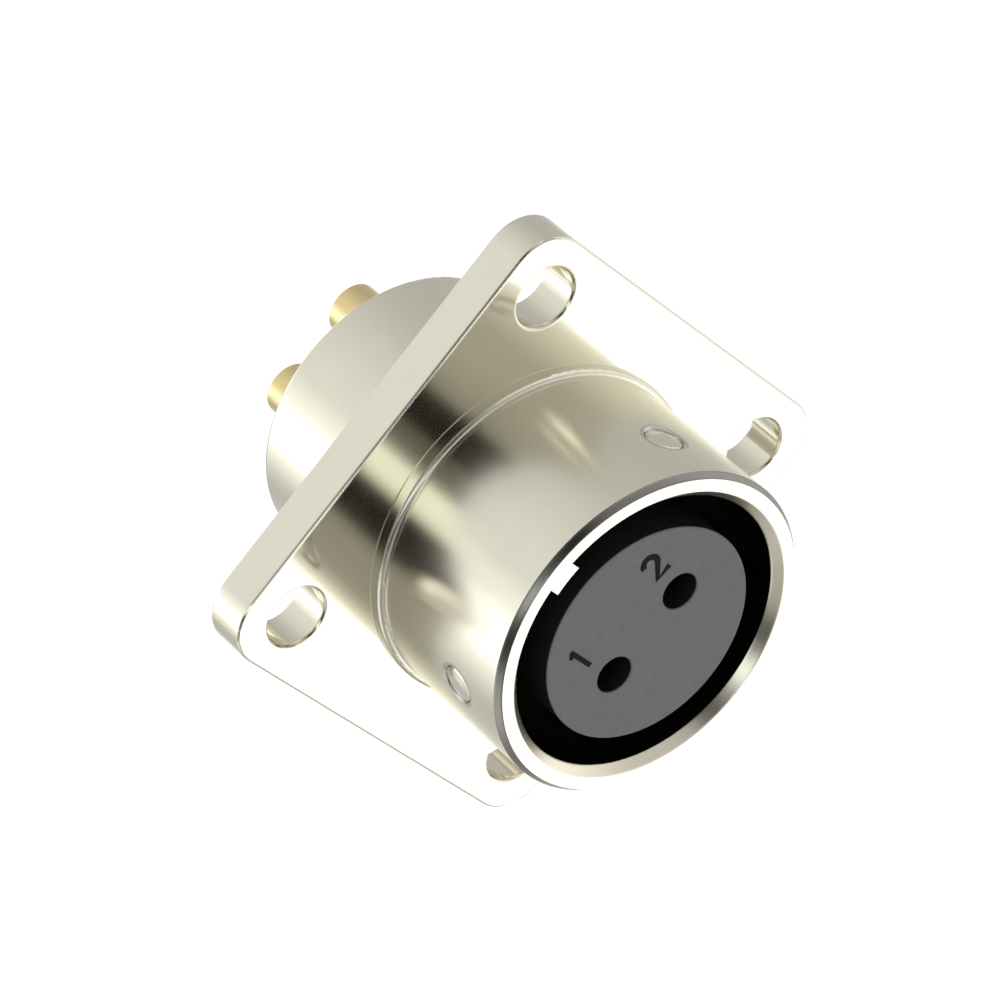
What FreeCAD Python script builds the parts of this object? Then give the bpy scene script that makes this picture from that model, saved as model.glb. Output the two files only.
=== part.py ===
import FreeCAD, Part
import os
from math import cos, radians, sin

# Square-flange panel receptacle with two socket contacts, in millimetres.
# The connector's axis is Y. The flange's rear face lies on y = 0 and bolts to the panel,
# the mating rim points to -Y, contact 1 lies at -X, and the main key is at +Z.

# Shell: flange
mounting_pitch = 22.8
mounting_hole_radius = 1.95
flange_margin = 3.6
flange_thickness = 2.8
flange_corner_radius = 2.8
flange_edge_break = 0.1
hole_edge_break = 0.1

# Shell: barrels and walls
front_length = 11.8
front_wall = 1.63
rim_chamfer_radial = 0.3
rim_chamfer_axial = 0.43
mouth_chamfer = 0.55
collar_step = 0.35
collar_height = 0.6
collar_rounding = 0.32
rear_length = 11.05
rear_wall = 1.1
rear_rounding = 0.35
web_setback = 2.0
web_thickness = 1.6
seat_step = 1.15

# Shell: main key inside the mouth
key_width = 1.9
key_height = 0.15
key_root_depth = 0.75
key_gasket_gap = 1.5

# Coupling pins, pressed through the barrel's wall and staked outside
coupling_pin_azimuths = (27, 147, 267)
coupling_pin_radius = 1.1
coupling_pin_setback = 4.2
coupling_pin_projection = 1.2
coupling_pin_tip_chamfer = 0.2
staked_edge_width = 0.2
staked_edge_depth = 0.22
staked_crown_height = 0.1
staked_crown_flat = 0.5
staking_groove_depth = 0.16
staking_groove_width = 0.15

# Insulating inserts
insert_radius = 6.95
insert_recess = 0.27
insert_edge_rounding = 0.1
mating_gap = 1.92
insert_flange_length = 2.2
insert_joint_gap = 0.05
rear_recess = 3.05
rear_insert_chamfer = 0.4
wire_well_depth = 1.2
wire_well_margin = 0.7

# Seals
gasket_thickness = 1.4
gasket_edge_rounding = 0.3
insert_seal_thickness = 0.8

# Locating pin, half in the shell and half in the inserts
locating_pin_radius = 0.5
locating_pin_chamfer = 0.1

# Retaining ring in the rear barrel
ring_thickness = 0.95
ring_groove_depth = 0.5
ring_groove_clearance = 0.05
ring_width = 0.85
ring_extra_width = 0.7
ring_lug_radius = 1.05
ring_lug_hole_radius = 0.5
ring_lug_angle = 17.0
ring_opening = 2.0

# Contacts
contact_pitch = 6.0
mating_pin_radius = 1.0
entry_clearance = 0.18
entry_lead_in = 0.08
entry_wall = 2.5
tine_wall = 0.37
tine_length = 7.0
tine_slot_width = 0.4
tine_lead_in = 0.15
tine_tip_gap = 0.4
tine_flex_gap = 0.08
socket_depth = 8.0
hood_wall = 0.28
hood_lip = 0.2
hood_seat_length = 1.3
contact_flange_step = 0.45
contact_flange_length = 1.2
solder_cup_radius = 1.7
solder_cup_wall = 0.45
solder_cup_depth = 6.5
solder_cup_projection = 7.75
solder_cup_edge_break = 0.15
scoop_length = 3.5
scoop_depth_below_axis = 0.3
drill_cone = 0.6

# Clearances between pieces
press_clearance = 0.01
sliding_clearance = 0.02
seating_clearance = 0.05
cavity_clearance = 0.1

# Worked out from the values above: radii
front_bore_radius = insert_radius + mating_gap
front_outer_radius = front_bore_radius + front_wall
web_hole_radius = insert_radius + seating_clearance
rear_bore_radius = insert_radius + seat_step
rear_outer_radius = rear_bore_radius + rear_wall
collar_radius = front_outer_radius + collar_step
insert_flange_radius = rear_bore_radius - seating_clearance
flange_side = mounting_pitch + 2 * flange_margin
ring_groove_radius = rear_bore_radius + ring_groove_depth
entry_hole_radius = mating_pin_radius + entry_clearance
socket_radius = mating_pin_radius + sliding_clearance
tine_radius = socket_radius + tine_wall
hood_seat_radius = tine_radius + tine_flex_gap
hood_inner_radius = hood_seat_radius + press_clearance
hood_outer_radius = hood_inner_radius + hood_wall
cavity_radius = hood_outer_radius + cavity_clearance
contact_flange_radius = cavity_radius + contact_flange_step
shank_hole_radius = solder_cup_radius + seating_clearance
solder_cup_bore_radius = solder_cup_radius - solder_cup_wall

# Worked out from the values above: stations along Y
flange_front_y = -flange_thickness
flange_middle_y = flange_front_y / 2
collar_front_y = flange_front_y - collar_height
rim_y = flange_front_y - front_length
web_rear_y = -web_setback
web_front_y = web_rear_y - web_thickness
gasket_front_y = web_front_y - gasket_thickness
insert_face_y = rim_y + insert_recess
insert_flange_front_y = web_rear_y + insert_seal_thickness
insert_rear_y = insert_flange_front_y + insert_flange_length
rear_insert_front_y = insert_rear_y + insert_joint_gap
rear_insert_rear_y = rear_length - rear_recess
ring_front_y = rear_insert_rear_y + ring_groove_clearance
ring_rear_y = ring_front_y + ring_thickness
cavity_front_y = insert_face_y + entry_wall
hood_front_y = cavity_front_y + seating_clearance
tine_tip_y = hood_front_y + hood_lip + tine_tip_gap
socket_bottom_y = tine_tip_y + socket_depth
hood_rear_y = tine_tip_y + tine_length + hood_seat_length
contact_flange_rear_y = insert_rear_y
contact_flange_front_y = contact_flange_rear_y - contact_flange_length
solder_cup_end_y = rear_length + solder_cup_projection
coupling_pin_y = rim_y + coupling_pin_setback

ORIGIN = FreeCAD.Vector(0, 0, 0)
X_AXIS = FreeCAD.Vector(1, 0, 0)
Y_AXIS = FreeCAD.Vector(0, 1, 0)
overshoot = 1.0
tolerance = 1e-6


def turned(profile):
    """A solid of revolution about Y, from the (radius, y) corners of its half section."""
    corners = [FreeCAD.Vector(radius, y, 0) for radius, y in profile]
    outline = Part.makePolygon(corners + corners[:1])
    return Part.Face(outline).revolve(ORIGIN, Y_AXIS, 360)


def rod(radius, start_y, end_y, x=0.0, z=0.0):
    """A cylinder parallel to Y between two stations."""
    return Part.makeCylinder(radius, end_y - start_y, FreeCAD.Vector(x, start_y, z), Y_AXIS)


def ring(inner_radius, outer_radius, start_y, end_y):
    """A plain ring about Y between two stations."""
    return rod(outer_radius, start_y, end_y).cut(rod(inner_radius, start_y, end_y))


def round_rims(solid, rims, rounding):
    """Rounds the full circular edges that lie at the given (radius, y) places."""
    chosen = []
    for edge in solid.Edges:
        if not isinstance(edge.Curve, Part.Circle):
            continue
        centre_y = edge.Curve.Center.y
        for radius, y in rims:
            if abs(edge.Curve.Radius - radius) < tolerance and abs(centre_y - y) < tolerance:
                chosen.append(edge)
    return solid.makeFillet(rounding, chosen)


def hole_places():
    """The (x, z) centres of the four mounting holes."""
    half = mounting_pitch / 2
    return [(x, z) for x in (-half, half) for z in (-half, half)]


def contact_places():
    """The x of contact 1 and of contact 2."""
    return (-contact_pitch / 2, contact_pitch / 2)


def flange_plate():
    half = flange_side / 2
    corner = FreeCAD.Vector(-half, flange_front_y, -half)
    plate = Part.makeBox(flange_side, flange_thickness, flange_side, corner)
    uprights = [edge for edge in plate.Edges if abs(edge.tangentAt(edge.FirstParameter).y) > 0.5]
    plate = plate.makeFillet(flange_corner_radius, uprights)
    outline = [edge for edge in plate.Edges if edge.BoundBox.YLength < tolerance]
    return plate.makeChamfer(flange_edge_break, outline)


def mounting_hole(x, z):
    """A hole with a broken edge at both faces of the flange."""
    mouth_radius = mounting_hole_radius + hole_edge_break + overshoot
    cone_height = hole_edge_break + overshoot
    front_start = FreeCAD.Vector(x, flange_front_y - overshoot, z)
    front = Part.makeCone(mouth_radius, mounting_hole_radius, cone_height, front_start, Y_AXIS)
    rear_start = FreeCAD.Vector(x, -hole_edge_break, z)
    rear = Part.makeCone(mounting_hole_radius, mouth_radius, cone_height, rear_start, Y_AXIS)
    return rod(mounting_hole_radius, flange_front_y, 0, x, z).fuse([front, rear])


def barrels():
    """The outside of the turned shell: rim, front barrel, collar and rear barrel."""
    body = turned([
        (0, rim_y),
        (front_outer_radius - rim_chamfer_radial, rim_y),
        (front_outer_radius, rim_y + rim_chamfer_axial),
        (front_outer_radius, collar_front_y),
        (collar_radius, collar_front_y),
        (collar_radius, flange_middle_y),
        (rear_outer_radius, flange_middle_y),
        (rear_outer_radius, rear_length),
        (0, rear_length),
    ])
    body = round_rims(body, [(collar_radius, collar_front_y)], collar_rounding)
    return round_rims(body, [(rear_outer_radius, rear_length)], rear_rounding)


def shell_bore():
    """All that is bored out of the shell, from the mouth to the rear end."""
    return turned([
        (0, rim_y - overshoot),
        (front_bore_radius + mouth_chamfer, rim_y - overshoot),
        (front_bore_radius + mouth_chamfer, rim_y),
        (front_bore_radius, rim_y + mouth_chamfer),
        (front_bore_radius, web_front_y),
        (web_hole_radius, web_front_y),
        (web_hole_radius, web_rear_y),
        (rear_bore_radius, web_rear_y),
        (rear_bore_radius, rear_insert_rear_y),
        (ring_groove_radius, rear_insert_rear_y),
        (ring_groove_radius, ring_rear_y + ring_groove_clearance),
        (rear_bore_radius, ring_rear_y + ring_groove_clearance),
        (rear_bore_radius, rear_length + overshoot),
        (0, rear_length + overshoot),
    ])


def main_key():
    """The key that stands in from the bore at the top and ends flush with the rim."""
    inner_radius = front_bore_radius - key_height
    outer_radius = front_bore_radius + key_root_depth
    key_end_y = gasket_front_y - key_gasket_gap
    corner = FreeCAD.Vector(-key_width / 2, rim_y, 0)
    block = Part.makeBox(key_width, key_end_y - rim_y, outer_radius, corner)
    return block.common(ring(inner_radius, outer_radius, rim_y, key_end_y))


def on_azimuth(solid, azimuth):
    """Turns a solid that lies along +X to an azimuth round the axis, from X towards Z."""
    turned_solid = solid.copy()
    turned_solid.rotate(ORIGIN, Y_AXIS, -azimuth)
    return turned_solid


def radial_turned(profile):
    """A solid of revolution about the X line through a coupling pin, from (radius, x) corners."""
    corners = [FreeCAD.Vector(x, coupling_pin_y + radius, 0) for radius, x in profile]
    outline = Part.makePolygon(corners + corners[:1])
    return Part.Face(outline).revolve(FreeCAD.Vector(0, coupling_pin_y, 0), X_AXIS, 360)


def coupling_pin_hole():
    """The hole in the barrel's wall for a pin along +X, opened out where the pin is staked."""
    hole_radius = coupling_pin_radius + press_clearance
    return radial_turned([
        (0, insert_radius + mating_gap / 2),
        (hole_radius, insert_radius + mating_gap / 2),
        (hole_radius, front_outer_radius - staked_edge_depth),
        (hole_radius + staked_edge_width, front_outer_radius),
        (hole_radius + staked_edge_width, front_outer_radius + overshoot),
        (0, front_outer_radius + overshoot),
    ])


def coupling_pin():
    """A pin along +X: its tip locks the plug, and its outer end is crowned by staking."""
    tip_x = front_bore_radius - coupling_pin_projection
    top_x = front_outer_radius
    groove_x = top_x - staking_groove_depth
    crown_radius = coupling_pin_radius - staking_groove_width
    flat_radius = staked_crown_flat * crown_radius
    return radial_turned([
        (0, tip_x),
        (coupling_pin_radius - coupling_pin_tip_chamfer, tip_x),
        (coupling_pin_radius, tip_x + coupling_pin_tip_chamfer),
        (coupling_pin_radius, groove_x),
        (crown_radius, top_x - staked_crown_height),
        (flat_radius, top_x),
        (0, top_x),
    ])


def locating_groove(start_y, end_y):
    """The round groove at the top of the rear bore that the locating pin lies in."""
    return rod(locating_pin_radius + press_clearance, start_y, end_y, 0, rear_bore_radius)


def shell():
    body = flange_plate().fuse(barrels())
    body = body.cut(shell_bore())
    body = body.fuse(main_key())
    cuts = [mounting_hole(x, z) for x, z in hole_places()]
    cuts += [on_azimuth(coupling_pin_hole(), azimuth) for azimuth in coupling_pin_azimuths]
    cuts.append(locating_groove(insert_flange_front_y, rear_length + overshoot))
    return body.cut(cuts).removeSplitter()


def contact_cavity(x):
    """The room for one contact in the front insert, from its entry hole to the rear face."""
    mouth_radius = entry_hole_radius + entry_lead_in
    cavity = turned([
        (0, insert_face_y - overshoot),
        (mouth_radius, insert_face_y - overshoot),
        (mouth_radius, insert_face_y),
        (entry_hole_radius, insert_face_y + entry_lead_in),
        (entry_hole_radius, cavity_front_y),
        (cavity_radius, cavity_front_y),
        (cavity_radius, contact_flange_front_y),
        (contact_flange_radius + seating_clearance, contact_flange_front_y),
        (contact_flange_radius + seating_clearance, insert_rear_y + overshoot),
        (0, insert_rear_y + overshoot),
    ])
    return cavity.translated(FreeCAD.Vector(x, 0, 0))


def front_insert():
    body = turned([
        (0, insert_face_y),
        (insert_radius, insert_face_y),
        (insert_radius, insert_flange_front_y),
        (insert_flange_radius, insert_flange_front_y),
        (insert_flange_radius, insert_rear_y),
        (0, insert_rear_y),
    ])
    body = round_rims(body, [(insert_radius, insert_face_y)], insert_edge_rounding)
    cuts = [contact_cavity(x) for x in contact_places()]
    cuts.append(locating_groove(insert_flange_front_y - overshoot, insert_rear_y + overshoot))
    return body.cut(cuts)


def rear_insert():
    body = turned([
        (0, rear_insert_front_y),
        (insert_flange_radius, rear_insert_front_y),
        (insert_flange_radius, rear_insert_rear_y - rear_insert_chamfer),
        (insert_flange_radius - rear_insert_chamfer, rear_insert_rear_y),
        (0, rear_insert_rear_y),
    ])
    cuts = [locating_groove(rear_insert_front_y - overshoot, rear_insert_rear_y + overshoot)]
    for x in contact_places():
        cuts.append(rod(shank_hole_radius, rear_insert_front_y - overshoot,
                        rear_insert_rear_y + overshoot, x))
        cuts.append(rod(shank_hole_radius + wire_well_margin,
                        rear_insert_rear_y - wire_well_depth, rear_insert_rear_y + overshoot, x))
    return body.cut(cuts)


def tine_slot():
    """The saw cut that parts the front of a socket into two tines."""
    width = 2 * (tine_radius + overshoot)
    corner = FreeCAD.Vector(-width / 2, tine_tip_y - overshoot, -tine_slot_width / 2)
    return Part.makeBox(width, tine_length + overshoot, tine_slot_width, corner)


def socket_bore():
    """The blind bore that grips the mating pin, with a lead-in and a drilled bottom."""
    return turned([
        (0, tine_tip_y - overshoot),
        (socket_radius + tine_lead_in, tine_tip_y - overshoot),
        (socket_radius + tine_lead_in, tine_tip_y),
        (socket_radius, tine_tip_y + tine_lead_in),
        (socket_radius, socket_bottom_y),
        (0, socket_bottom_y + drill_cone * socket_radius),
    ])


def solder_cup_bore():
    bottom_y = solder_cup_end_y - solder_cup_depth
    return turned([
        (0, bottom_y - drill_cone * solder_cup_bore_radius),
        (solder_cup_bore_radius, bottom_y),
        (solder_cup_bore_radius, solder_cup_end_y + overshoot),
        (0, solder_cup_end_y + overshoot),
    ])


def solder_scoop():
    """The milled cut that opens the underside of a solder cup, with a sloping run-out."""
    depth = solder_cup_radius - scoop_depth_below_axis + overshoot
    width = 2 * (solder_cup_radius + overshoot)
    open_y = solder_cup_end_y - scoop_length
    corners = [
        FreeCAD.Vector(-width / 2, open_y, -scoop_depth_below_axis),
        FreeCAD.Vector(-width / 2, solder_cup_end_y + overshoot, -scoop_depth_below_axis),
        FreeCAD.Vector(-width / 2, solder_cup_end_y + overshoot, -scoop_depth_below_axis - depth),
        FreeCAD.Vector(-width / 2, open_y - depth, -scoop_depth_below_axis - depth),
    ]
    side = Part.Face(Part.makePolygon(corners + corners[:1]))
    return side.extrude(FreeCAD.Vector(width, 0, 0))


def socket_contact():
    """One contact on the axis: slotted socket, shoulder for the hood, flange and solder cup."""
    body = turned([
        (0, tine_tip_y),
        (tine_radius - tine_lead_in, tine_tip_y),
        (tine_radius, tine_tip_y + tine_lead_in),
        (tine_radius, tine_tip_y + tine_length),
        (hood_seat_radius, tine_tip_y + tine_length),
        (hood_seat_radius, hood_rear_y),
        (hood_outer_radius, hood_rear_y),
        (hood_outer_radius, contact_flange_front_y),
        (contact_flange_radius, contact_flange_front_y),
        (contact_flange_radius, contact_flange_rear_y),
        (solder_cup_radius, contact_flange_rear_y),
        (solder_cup_radius, solder_cup_end_y - solder_cup_edge_break),
        (solder_cup_radius - solder_cup_edge_break, solder_cup_end_y),
        (0, solder_cup_end_y),
    ])
    return body.cut([socket_bore(), tine_slot(), solder_cup_bore(), solder_scoop()])


def contact_hood():
    """The thin sleeve over the tines, with a lip that closes its front to the pin's size."""
    lip_radius = entry_hole_radius
    return turned([
        (lip_radius, hood_front_y),
        (hood_outer_radius - hood_lip / 2, hood_front_y),
        (hood_outer_radius, hood_front_y + hood_lip / 2),
        (hood_outer_radius, hood_rear_y),
        (hood_inner_radius, hood_rear_y),
        (hood_inner_radius, hood_front_y + hood_lip),
        (lip_radius, hood_front_y + hood_lip),
    ])


def mating_gasket():
    """The rubber ring on the floor of the gap, which the plug's rim presses on."""
    inner_radius = insert_radius + seating_clearance
    outer_radius = front_bore_radius - seating_clearance
    body = ring(inner_radius, outer_radius, gasket_front_y, web_front_y)
    rims = [(inner_radius, gasket_front_y), (outer_radius, gasket_front_y)]
    return round_rims(body, rims, gasket_edge_rounding)


def insert_seal():
    """The flat rubber ring between the shell's web and the front insert's flange."""
    inner_radius = insert_radius + seating_clearance
    return ring(inner_radius, insert_flange_radius, web_rear_y, insert_flange_front_y)


def locating_pin():
    body = rod(locating_pin_radius, insert_flange_front_y, rear_insert_rear_y, 0, rear_bore_radius)
    ends = [edge for edge in body.Edges if edge.BoundBox.YLength < tolerance]
    return body.makeChamfer(locating_pin_chamfer, ends)


def retaining_ring():
    """A sprung ring, widest at the top and open at the bottom between two lugs with holes."""
    outer_radius = ring_groove_radius - seating_clearance
    inner_radius = outer_radius - ring_width - ring_extra_width / 2
    blank = rod(outer_radius, ring_front_y, ring_rear_y)
    lugs = []
    holes = []
    lug_reach = rear_bore_radius - seating_clearance - ring_lug_radius
    for side in (-1, 1):
        angle = radians(-90 + side * ring_lug_angle)
        x = lug_reach * cos(angle)
        z = lug_reach * sin(angle)
        lugs.append(rod(ring_lug_radius, ring_front_y, ring_rear_y, x, z))
        holes.append(rod(ring_lug_hole_radius, ring_front_y - overshoot, ring_rear_y + overshoot, x, z))
    body = blank.cut(rod(inner_radius, ring_front_y, ring_rear_y, 0, -ring_extra_width / 2))
    body = body.fuse(lugs)
    corner = FreeCAD.Vector(-ring_opening / 2, ring_front_y, -outer_radius - overshoot)
    opening = Part.makeBox(ring_opening, ring_thickness, outer_radius, corner)
    return body.cut(holes + [opening]).removeSplitter()


def pieces():
    """Every piece of the connector by its node name."""
    named = {
        "shell": shell(),
        "front_insert": front_insert(),
        "rear_insert": rear_insert(),
        "mating_gasket": mating_gasket(),
        "insert_seal": insert_seal(),
        "locating_pin": locating_pin(),
        "retaining_ring": retaining_ring(),
    }
    for number, azimuth in enumerate(coupling_pin_azimuths, 1):
        named[f"coupling_pin_{number}"] = on_azimuth(coupling_pin(), azimuth)
    for number, x in enumerate(contact_places(), 1):
        aside = FreeCAD.Vector(x, 0, 0)
        named[f"socket_contact_{number}"] = socket_contact().translated(aside)
        named[f"contact_hood_{number}"] = contact_hood().translated(aside)
    return named


os.makedirs("parts", exist_ok=True)
for node, solid in pieces().items():
    solid.exportStep(f"parts/{node}.step")
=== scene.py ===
import bpy
from math import cos, pi, radians, sin
from mathutils import Matrix, Vector


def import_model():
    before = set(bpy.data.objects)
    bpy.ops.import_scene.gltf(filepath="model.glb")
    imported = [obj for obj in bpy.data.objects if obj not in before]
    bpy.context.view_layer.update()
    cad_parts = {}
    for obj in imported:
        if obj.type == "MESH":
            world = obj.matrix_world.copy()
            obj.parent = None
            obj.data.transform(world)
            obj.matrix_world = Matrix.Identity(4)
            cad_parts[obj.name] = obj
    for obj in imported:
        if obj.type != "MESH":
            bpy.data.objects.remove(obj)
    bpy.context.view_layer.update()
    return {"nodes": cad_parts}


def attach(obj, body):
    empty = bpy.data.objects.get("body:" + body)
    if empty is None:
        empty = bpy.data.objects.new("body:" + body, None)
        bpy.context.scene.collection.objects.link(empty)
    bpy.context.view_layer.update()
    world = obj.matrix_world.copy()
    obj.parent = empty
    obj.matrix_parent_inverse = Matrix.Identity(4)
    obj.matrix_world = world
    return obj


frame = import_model()
nodes = frame["nodes"]

MM = 0.001
FLOOR_Z = -0.2
TENT_RADIUS = 0.19

# Places on the connector, whose axis is Y with the mouth towards -Y
INSERT_FACE_Y = -14.33 * MM
RIM_LIMIT_Y = -13.9 * MM
BORE_LIMIT = 9.0 * MM
OUTER_EDGE_START = 9.8 * MM
COLLAR_START = 10.52 * MM
BARREL_LIMIT = 10.95 * MM
COLLAR_MIDDLE_Y = -3.27 * MM
COLLAR_REACH = 0.17 * MM
PIN_Y = -10.4 * MM
PIN_AZIMUTH = radians(27.0)
PIN_STEP = radians(120.0)
PIN_END_RADIUS = 1.1 * MM
STAKED_REACH = 1.45 * MM
OUTLINE_START = 14.4 * MM
HOLE_PLACE = 11.4 * MM
HOLE_EDGE_REACH = 2.4 * MM

# How far round an edge its normals are softened, and the colours of the painted shade and the painted
# highlight put on some of the plate's edges
EDGE_SOFTNESS = 0.25 * MM
PAINTED_SHADE_EDGE = (0.30, 0.28, 0.26)
PAINTED_HIGHLIGHT_EDGE = (0.98, 0.91, 0.75)

# Photograph's viewpoint, in the connector's frame
CAMERA_PLACE = Vector((0.02579, -0.26175, 0.30692))
CAMERA_FORWARD = Vector((-0.0633, 0.6482, -0.7589)).normalized()
CAMERA_UP_HINT = Vector((0.7858, 0.5011, 0.3624))
LENS_MM = 252.0
SENSOR_MM = 36.0


class Tree:
    """Builds one material's or the world's nodes with short calls."""

    def __init__(self, holder):
        holder.use_nodes = True
        self.tree = holder.node_tree
        self.tree.nodes.clear()

    def add(self, kind, **settings):
        node = self.tree.nodes.new(kind)
        for key, value in settings.items():
            setattr(node, key, value)
        return node

    def link(self, start, end):
        self.tree.links.new(start, end)

    def feed(self, socket, value):
        """Links an output or sets a plain value on an input."""
        if isinstance(value, bpy.types.NodeSocket):
            self.link(value, socket)
        else:
            socket.default_value = value

    def math(self, operation, first, second=0.0, clamp=False):
        node = self.add("ShaderNodeMath", operation=operation, use_clamp=clamp)
        self.feed(node.inputs[0], first)
        self.feed(node.inputs[1], second)
        return node.outputs[0]

    def between(self, value, low, high):
        return self.math("MULTIPLY", self.math("GREATER_THAN", value, low),
                         self.math("LESS_THAN", value, high))

    def distance(self, first, second):
        """The length of a line from its two measures at right angles."""
        return self.math("SQRT", self.math("ADD", self.math("POWER", first, 2.0),
                                           self.math("POWER", second, 2.0)))

    def ramp(self, factor, stops):
        node = self.add("ShaderNodeValToRGB")
        marks = node.color_ramp.elements
        while len(marks) > 1:
            marks.remove(marks[-1])
        marks[0].position = stops[0][0]
        marks[0].color = (*stops[0][1], 1.0)
        for position, colour in stops[1:]:
            mark = marks.new(position)
            mark.color = (*colour, 1.0)
        self.feed(node.inputs["Fac"], factor)
        return node.outputs["Color"]

    def noise(self, vector, scale, detail=4.0, roughness=0.5):
        node = self.add("ShaderNodeTexNoise")
        node.inputs["Scale"].default_value = scale
        node.inputs["Detail"].default_value = detail
        node.inputs["Roughness"].default_value = roughness
        self.feed(node.inputs["Vector"], vector)
        return node.outputs["Fac"]

    def seen(self):
        """1 where the camera, a reflection or a clear piece shows the surface, else 0."""
        light_path = self.add("ShaderNodeLightPath").outputs
        seen = self.math("ADD", light_path["Is Camera Ray"], light_path["Is Glossy Ray"], True)
        return self.math("ADD", seen, light_path["Is Transmission Ray"], True)

    def object_coords(self):
        return self.add("ShaderNodeTexCoord").outputs["Object"]

    def stretched(self, vector, scale):
        node = self.add("ShaderNodeMapping")
        node.inputs["Scale"].default_value = scale
        self.feed(node.inputs["Vector"], vector)
        return node.outputs["Vector"]

    def bump(self, height, strength, distance):
        node = self.add("ShaderNodeBump")
        node.inputs["Strength"].default_value = strength
        node.inputs["Distance"].default_value = distance
        self.feed(node.inputs["Height"], height)
        return node.outputs["Normal"]

    def tinted(self, base, amount, colour):
        """A base colour that turns into another one, by an amount from 0 to 1."""
        mix = self.add("ShaderNodeMix", data_type="RGBA")
        self.feed(mix.inputs["Factor"], amount)
        self.feed(mix.inputs["A"], base)
        mix.inputs["B"].default_value = (*colour, 1.0)
        return mix.outputs["Result"]

    def soft_edges(self, radius, amount):
        """A normal that is rounded near edges, by an amount from 0 to 1."""
        node = self.add("ShaderNodeBevel", samples=8)
        node.inputs["Radius"].default_value = radius
        mix = self.add("ShaderNodeMix", data_type="VECTOR")
        first, second = [s for s in mix.inputs if s.type == "VECTOR" and s.name in ("A", "B")]
        self.feed(mix.inputs["Factor"], amount)
        self.feed(first, self.add("ShaderNodeNewGeometry").outputs["Normal"])
        self.feed(second, node.outputs["Normal"])
        return [s for s in mix.outputs if s.type == "VECTOR"][0]

    def principled(self, **values):
        """The surface shader, joined to the output. Names are socket names with _ for a space."""
        shader = self.add("ShaderNodeBsdfPrincipled")
        for key, value in values.items():
            self.feed(shader.inputs[key.replace("_", " ")], value)
        output = self.add("ShaderNodeOutputMaterial")
        self.link(shader.outputs[0], output.inputs["Surface"])
        return shader


def grey(value):
    return (value, value, value)


def shades(colour, low, high):
    """Two stops of one colour, a little darker and a little lighter."""
    return [(0.3, tuple(c * low for c in colour)), (0.7, tuple(c * high for c in colour))]


def plated_metal(name, colour, roughness, marks=0.25):
    """Bright plated metal with faint turning marks round Y and a slightly uneven plating."""
    material = bpy.data.materials.new(name)
    t = Tree(material)
    place = t.object_coords()
    cloud = t.noise(place, 260.0, 3.0)
    rings = t.noise(t.stretched(place, (150.0, 9000.0, 150.0)), 1.0, 2.0)
    tone = t.ramp(cloud, shades(colour, 0.985, 1.015))
    rough = t.ramp(rings, [(0.3, grey(roughness * 0.8)), (0.7, grey(roughness * 1.25))])
    normal = t.bump(rings, marks, 0.002 * MM)
    t.principled(Base_Color=tone, Metallic=1.0, Roughness=rough, Normal=normal)
    return material


def shell_places(t, place):
    """Masks from 0 to 1 for the barrels, the rim, its outer edge, the staked pins and other edges."""
    split = t.add("ShaderNodeSeparateXYZ")
    t.link(place, split.inputs[0])
    x, y, z = split.outputs["X"], split.outputs["Y"], split.outputs["Z"]
    radius = t.distance(x, z)
    facing = t.add("ShaderNodeSeparateXYZ")
    t.link(t.add("ShaderNodeNewGeometry").outputs["Normal"], facing.inputs[0])
    slope = t.math("ABSOLUTE", facing.outputs["Y"])

    turns = t.math("DIVIDE", t.math("SUBTRACT", t.math("ARCTAN2", z, x), PIN_AZIMUTH), PIN_STEP)
    aside = t.math("SUBTRACT", t.math("FRACT", t.math("ADD", turns, 10.5)), 0.5)
    aside = t.math("MULTIPLY", t.math("MULTIPLY", aside, PIN_STEP), radius)
    from_pin = t.distance(aside, t.math("SUBTRACT", y, PIN_Y))
    staked = t.math("MULTIPLY", t.math("LESS_THAN", from_pin, STAKED_REACH),
                    t.math("GREATER_THAN", radius, BORE_LIMIT))
    groove = t.math("MULTIPLY", staked, t.math("GREATER_THAN", from_pin, PIN_END_RADIUS))

    from_collar = t.math("ABSOLUTE", t.math("SUBTRACT", y, COLLAR_MIDDLE_Y))
    collar = t.math("MULTIPLY", t.between(radius, COLLAR_START, BARREL_LIMIT),
                    t.math("LESS_THAN", from_collar, COLLAR_REACH))
    rim = t.math("MULTIPLY", t.math("LESS_THAN", y, RIM_LIMIT_Y), t.between(slope, 0.3, 0.97))
    outer_edge = t.math("GREATER_THAN", radius, OUTER_EDGE_START)
    worked = t.math("MAXIMUM", t.math("MAXIMUM", staked, collar), rim)
    barrel = t.math("MULTIPLY", t.between(radius, BORE_LIMIT, BARREL_LIMIT), t.math("LESS_THAN", slope, 0.1))
    barrel = t.math("MULTIPLY", barrel, t.math("SUBTRACT", 1.0, worked))

    across = t.math("ABSOLUTE", x)
    upward = t.math("ABSOLUTE", z)
    outline = t.math("GREATER_THAN", t.math("MAXIMUM", across, upward), OUTLINE_START)
    from_hole = t.distance(t.math("SUBTRACT", across, HOLE_PLACE), t.math("SUBTRACT", upward, HOLE_PLACE))
    flange_edge = t.math("MAXIMUM", outline, t.math("LESS_THAN", from_hole, HOLE_EDGE_REACH))
    return {
        "barrel": barrel,
        "worked": worked,
        "groove": groove,
        "outer rim": t.math("MULTIPLY", rim, outer_edge),
        "mouth": t.math("MULTIPLY", rim, t.math("SUBTRACT", 1.0, outer_edge)),
        "soft": t.math("MAXIMUM", t.math("MAXIMUM", rim, staked), flange_edge),
    }


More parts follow.
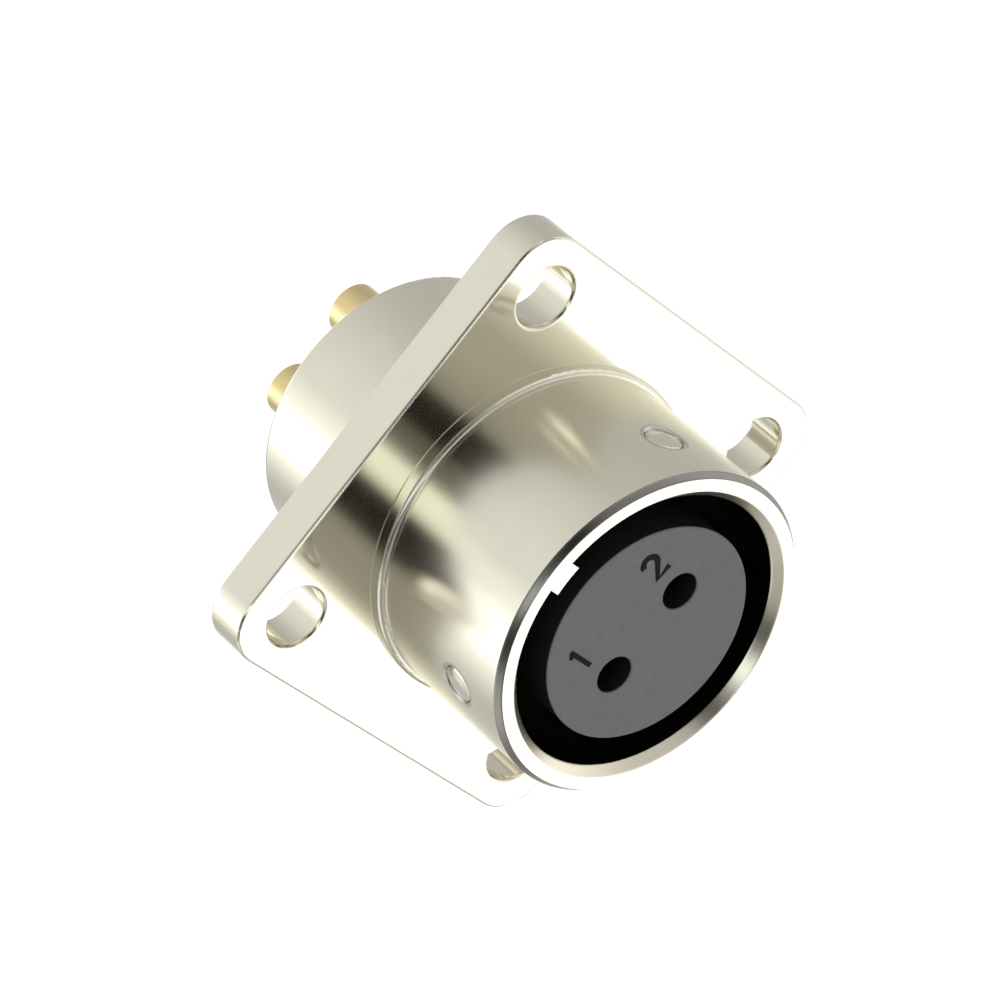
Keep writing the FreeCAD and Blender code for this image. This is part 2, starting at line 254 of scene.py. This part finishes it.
def turned_nickel(name, colour, smooth, turned, worn):
    """Bright plate. Turning rings spread reflections along the barrels. Worked edges are soft. Painted shade
    darkens the grooves round the staked pins and the rim's outer edge, and a painted highlight lightens the
    mouth's chamfer.
    """
    material = bpy.data.materials.new(name)
    t = Tree(material)
    place = t.object_coords()
    on = shell_places(t, place)
    tone = t.ramp(t.noise(place, 260.0, 3.0), shades(colour, 0.985, 1.015))
    # Painted shade in the grooves round the staked pins and on the rim's outer edge, and a painted highlight
    # on the mouth's chamfer
    tone = t.tinted(tone, t.math("MULTIPLY", on["groove"], 0.4), PAINTED_SHADE_EDGE)
    tone = t.tinted(tone, on["outer rim"], PAINTED_SHADE_EDGE)
    tone = t.tinted(tone, on["mouth"], PAINTED_HIGHLIGHT_EDGE)
    level = t.math("ADD", t.math("MULTIPLY", on["barrel"], turned - smooth), smooth)
    level = t.math("MAXIMUM", level, t.math("MULTIPLY", on["worked"], worn))
    rings = t.noise(t.stretched(place, (150.0, 5000.0, 150.0)), 1.0, 2.0)
    uneven = t.math("ADD", t.math("MULTIPLY", rings, 0.1), 0.95)
    round_axis = t.add("ShaderNodeTangent", direction_type="RADIAL", axis="Y")
    t.principled(Base_Color=tone, Metallic=1.0, Roughness=t.math("MULTIPLY", level, uneven),
                 Anisotropic=t.math("MULTIPLY", on["barrel"], 0.72), Anisotropic_Rotation=0.25,
                 Tangent=round_axis.outputs[0], Normal=t.soft_edges(EDGE_SOFTNESS, on["soft"]))
    return material


def insert_plastic(name, face_colour, side_shade_colour):
    """Moulded plastic, grey and matt on its front face, with painted shade that turns it black down its
    sides.
    """
    material = bpy.data.materials.new(name)
    t = Tree(material)
    place = t.object_coords()
    split = t.add("ShaderNodeSeparateXYZ")
    t.link(place, split.inputs[0])
    depth_mm = t.math("DIVIDE", t.math("SUBTRACT", split.outputs["Y"], INSERT_FACE_Y), MM)
    face = t.ramp(t.noise(place, 2200.0, 4.0, 0.6), shades(face_colour, 0.93, 1.07))
    # Painted shade: from 0.03 to 0.14 mm behind the front face the colour turns to the black of the sides
    painted_side_shade = t.ramp(depth_mm, [(0.03, grey(0.0)), (0.14, grey(1.0))])
    on_face = t.ramp(depth_mm, [(0.03, grey(1.0)), (0.14, grey(0.1))])
    grain = t.math("MULTIPLY", t.noise(place, 6000.0, 3.0), on_face)
    t.principled(Base_Color=t.tinted(face, painted_side_shade, side_shade_colour), Roughness=0.62,
                 Normal=t.bump(grain, 0.25, 0.015 * MM),
                 Specular_IOR_Level=t.math("MULTIPLY", on_face, 0.3))
    return material


def plain_plastic(name, colour, roughness, shine=0.5):
    """Moulded plastic or rubber with a fine grain."""
    material = bpy.data.materials.new(name)
    t = Tree(material)
    place = t.object_coords()
    grain = t.noise(place, 5000.0, 4.0)
    tone = t.ramp(grain, shades(colour, 0.85, 1.15))
    t.principled(Base_Color=tone, Roughness=roughness, Specular_IOR_Level=shine,
                 Normal=t.bump(grain, 0.3, 0.01 * MM))
    return material


nickel = turned_nickel("nickel_plate", (0.80, 0.768, 0.64), 0.08, 0.22, 0.26)
pin_nickel = plated_metal("nickel_pin_plate", (0.79, 0.76, 0.66), 0.16)
gold = plated_metal("gold_plate", (0.82, 0.66, 0.34), 0.2)
steel = plated_metal("ring_steel", (0.50, 0.49, 0.46), 0.28)
# The second colour of the front insert is the painted shade down its sides
insert_front = insert_plastic("insert_front", (0.136, 0.141, 0.136), (0.008, 0.008, 0.008))
insert_back = plain_plastic("insert_back", (0.12, 0.12, 0.118), 0.6)
rubber = plain_plastic("seal_rubber_skin", (0.014, 0.014, 0.014), 0.8, 0.2)
ink = plain_plastic("numeral_ink", (0.014, 0.015, 0.014), 0.8, 0.05)

finishes = {
    "shell": nickel,
    "front_insert": insert_front,
    "rear_insert": insert_back,
    "mating_gasket": rubber,
    "insert_seal": rubber,
    "locating_pin": steel,
    "retaining_ring": steel,
    "coupling_pin_1": pin_nickel,
    "coupling_pin_2": pin_nickel,
    "coupling_pin_3": pin_nickel,
    "socket_contact_1": gold,
    "socket_contact_2": gold,
    "contact_hood_1": steel,
    "contact_hood_2": steel,
}
for node, finish in finishes.items():
    for material_slot in nodes[node].material_slots:
        material_slot.material = finish


def stroke(name, points, width, height):
    """A flat printed line of even width through (x, z) points in mm, just proud of the face."""
    verts = []
    faces = []
    path = [Vector((x, z)) for x, z in points]
    for i, here in enumerate(path):
        before = path[max(i - 1, 0)]
        after = path[min(i + 1, len(path) - 1)]
        along = (after - before).normalized()
        across = Vector((-along.y, along.x)) * width / 2
        for side in (across, -across):
            for lift in (height, -0.01):
                verts.append(((here.x + side.x) * MM, INSERT_FACE_Y - lift * MM,
                              (here.y + side.y) * MM))
    for i in range(len(path) - 1):
        a = 4 * i
        b = a + 4
        faces += [(a, b, b + 2, a + 2), (a + 1, a + 3, b + 3, b + 1),
                  (a, a + 1, b + 1, b), (a + 2, b + 2, b + 3, a + 3)]
    last = 4 * (len(path) - 1)
    faces += [(0, 2, 3, 1), (last, last + 1, last + 3, last + 2)]
    mesh = bpy.data.meshes.new(name)
    mesh.from_pydata(verts, [], faces)
    mesh.validate()
    piece = bpy.data.objects.new(name, mesh)
    bpy.context.scene.collection.objects.link(piece)
    piece.data.materials.append(ink)
    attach(piece, "root")
    return piece


def numeral_points(shape, centre, tall, wide):
    """Places a numeral's unit points, x right and z up from -0.5 to 0.5, on the face."""
    return [(centre[0] + x * wide, centre[1] + z * tall) for x, z in shape]


flag = [(-0.22, 0.3), (0.12, 0.5)]
stem = [(0.06, 0.5), (0.06, -0.5)]
bowl = [(-0.02 + 0.44 * cos(radians(a)), 0.22 + 0.28 * sin(radians(a))) for a in range(165, -41, -15)]
two_shape = bowl + [(-0.46, -0.5), (0.5, -0.5)]
stroke("numeral_1_flag", numeral_points(flag, (-3.36, 3.3), 2.0, 1.2), 0.26, 0.026)
stroke("numeral_1_stem", numeral_points(stem, (-3.36, 3.3), 2.0, 1.2), 0.3, 0.03)
stroke("numeral_2", numeral_points(two_shape, (3.36, 3.2), 1.85, 1.1), 0.38, 0.03)


# Floor, light and camera
def floor():
    bpy.ops.mesh.primitive_plane_add(size=6.0, location=(0, 0, FLOOR_Z))
    plane = bpy.context.object
    plane.name = "floor"
    material = bpy.data.materials.new("pale_floor")
    t = Tree(material)
    seen = t.seen()
    tone = t.ramp(t.noise(t.object_coords(), 3.0), [(0.3, grey(0.8)), (0.7, grey(0.82))])
    t.principled(Base_Color=tone, Roughness=0.9, Emission_Color=(1, 1, 1, 1),
                 Emission_Strength=t.math("MULTIPLY", seen, 0.5))
    plane.data.materials.append(material)


def world():
    surroundings = bpy.data.worlds.new("studio")
    bpy.context.scene.world = surroundings
    t = Tree(surroundings)
    seen = t.seen()
    strength = t.math("ADD", t.math("MULTIPLY", seen, 0.4), 0.6)
    background = t.add("ShaderNodeBackground")
    background.inputs["Color"].default_value = (1, 1, 1, 1)
    t.link(strength, background.inputs["Strength"])
    output = t.add("ShaderNodeOutputWorld")
    t.link(background.outputs[0], output.inputs["Surface"])


# What the studio's walls and panels show in the metal, by angle round Y from X towards Z:
# (degrees, brightness or colour) in front of the connector, beside it and behind it.
GREEN_PANEL = (1.35, 1.5, 1.5)
FRONT_WALL = [(0, 0.53), (30, 0.52), (46, 0.45), (56, 0.36), (60, 0.12), (64, 0.0), (82, 0.0),
              (86, 0.13), (96, 0.18), (102, 0.4), (107, GREEN_PANEL), (120, GREEN_PANEL), (125, 0.9),
              (129, 0.0), (156, 0.0), (161, 0.3), (165, 0.38), (205, 0.41), (218, 0.7), (230, 1.1),
              (245, 1.6), (285, 1.6), (300, 1.1), (320, 0.92), (340, 0.76), (352, 0.6)]
MIDDLE_WALL = [(0, 1.05), (35, 1.0), (58, 0.3), (152, 0.3), (163, 1.2), (190, 1.2), (203, 0.6),
               (214, 0.4), (245, 0.45), (262, 0.9), (280, 1.05)]
BACK_WALL = [(0, 0.54), (30, 0.61), (60, 0.77), (90, 0.89), (110, 0.92), (120, 1.14), (130, 1.24),
             (142, 2.0), (158, 2.0), (170, 1.23), (180, 0.99), (190, 0.7), (202, 0.57), (222, 0.6),
             (240, 0.8), (255, 0.85), (262, 1.2), (276, 1.2), (288, 0.75), (320, 0.55)]


def tent():
    """A light tent round the Y axis. Only reflections see it."""
    bpy.ops.mesh.primitive_cylinder_add(vertices=96, radius=TENT_RADIUS, depth=1.6, end_fill_type="NOTHING",
                                        location=(0, 0, 0), rotation=(pi / 2, 0, 0))
    walls = bpy.context.object
    walls.name = "light_tent"
    bpy.ops.object.transform_apply(location=True, rotation=True, scale=True)
    material = bpy.data.materials.new("tent_cloth")
    material.cycles.emission_sampling = "NONE"
    t = Tree(material)
    split = t.add("ShaderNodeSeparateXYZ")
    t.link(t.object_coords(), split.inputs[0])
    angle = t.math("ARCTAN2", split.outputs["Z"], split.outputs["X"])
    turn = t.math("FRACT", t.math("DIVIDE", angle, 2 * pi))

    def wall(profile):
        closed = profile + [(360, profile[0][1])]
        return t.ramp(turn, [(a / 360, b if isinstance(b, tuple) else grey(b)) for a, b in closed])

    def blend(first, second, start, end):
        """Goes from the first wall to the second between two places along Y."""
        place = t.add("ShaderNodeMapRange", interpolation_type="SMOOTHSTEP")
        t.link(split.outputs["Y"], place.inputs["Value"])
        place.inputs["From Min"].default_value = start
        place.inputs["From Max"].default_value = end
        mix = t.add("ShaderNodeMix", data_type="RGBA")
        t.link(place.outputs["Result"], mix.inputs["Factor"])
        t.link(first, mix.inputs["A"])
        t.link(second, mix.inputs["B"])
        return mix.outputs["Result"]

    front = blend(wall(FRONT_WALL), wall(MIDDLE_WALL), -0.09, -0.05)
    whole = blend(front, wall(BACK_WALL), 0.0, 0.06)
    emission = t.add("ShaderNodeEmission")
    t.link(whole, emission.inputs["Color"])
    output = t.add("ShaderNodeOutputMaterial")
    t.link(emission.outputs[0], output.inputs["Surface"])
    walls.data.materials.append(material)
    walls.visible_camera = False
    walls.visible_diffuse = False
    walls.visible_transmission = False
    walls.visible_shadow = False


def lamp(name, place, size, watts):
    """A soft square lamp that faces the connector and lights it without showing in it."""
    data = bpy.data.lights.new(name, "AREA")
    data.size = size
    data.energy = watts
    item = bpy.data.objects.new(name, data)
    item.location = place
    item.rotation_euler = (-Vector(place)).to_track_quat("-Z", "Y").to_euler()
    item.visible_camera = False
    item.visible_glossy = False
    bpy.context.scene.collection.objects.link(item)


def camera():
    data = bpy.data.cameras.new("photo_view")
    data.lens = LENS_MM
    data.sensor_width = SENSOR_MM
    data.clip_start = 0.01
    data.clip_end = 20.0
    right = CAMERA_FORWARD.cross(CAMERA_UP_HINT).normalized()
    up = right.cross(CAMERA_FORWARD)
    turn = Matrix((right, up, -CAMERA_FORWARD)).transposed().to_4x4()
    item = bpy.data.objects.new("photo_view", data)
    item.matrix_world = Matrix.Translation(CAMERA_PLACE) @ turn
    bpy.context.scene.collection.objects.link(item)
    bpy.context.scene.camera = item


floor()
world()
tent()
lamp("key_lamp", (-0.25, -0.3, 0.45), 0.35, 1.2)
lamp("fill_lamp", (0.4, -0.35, 0.2), 0.35, 0.6)
camera()
bpy.context.scene.view_settings.view_transform = "Standard"
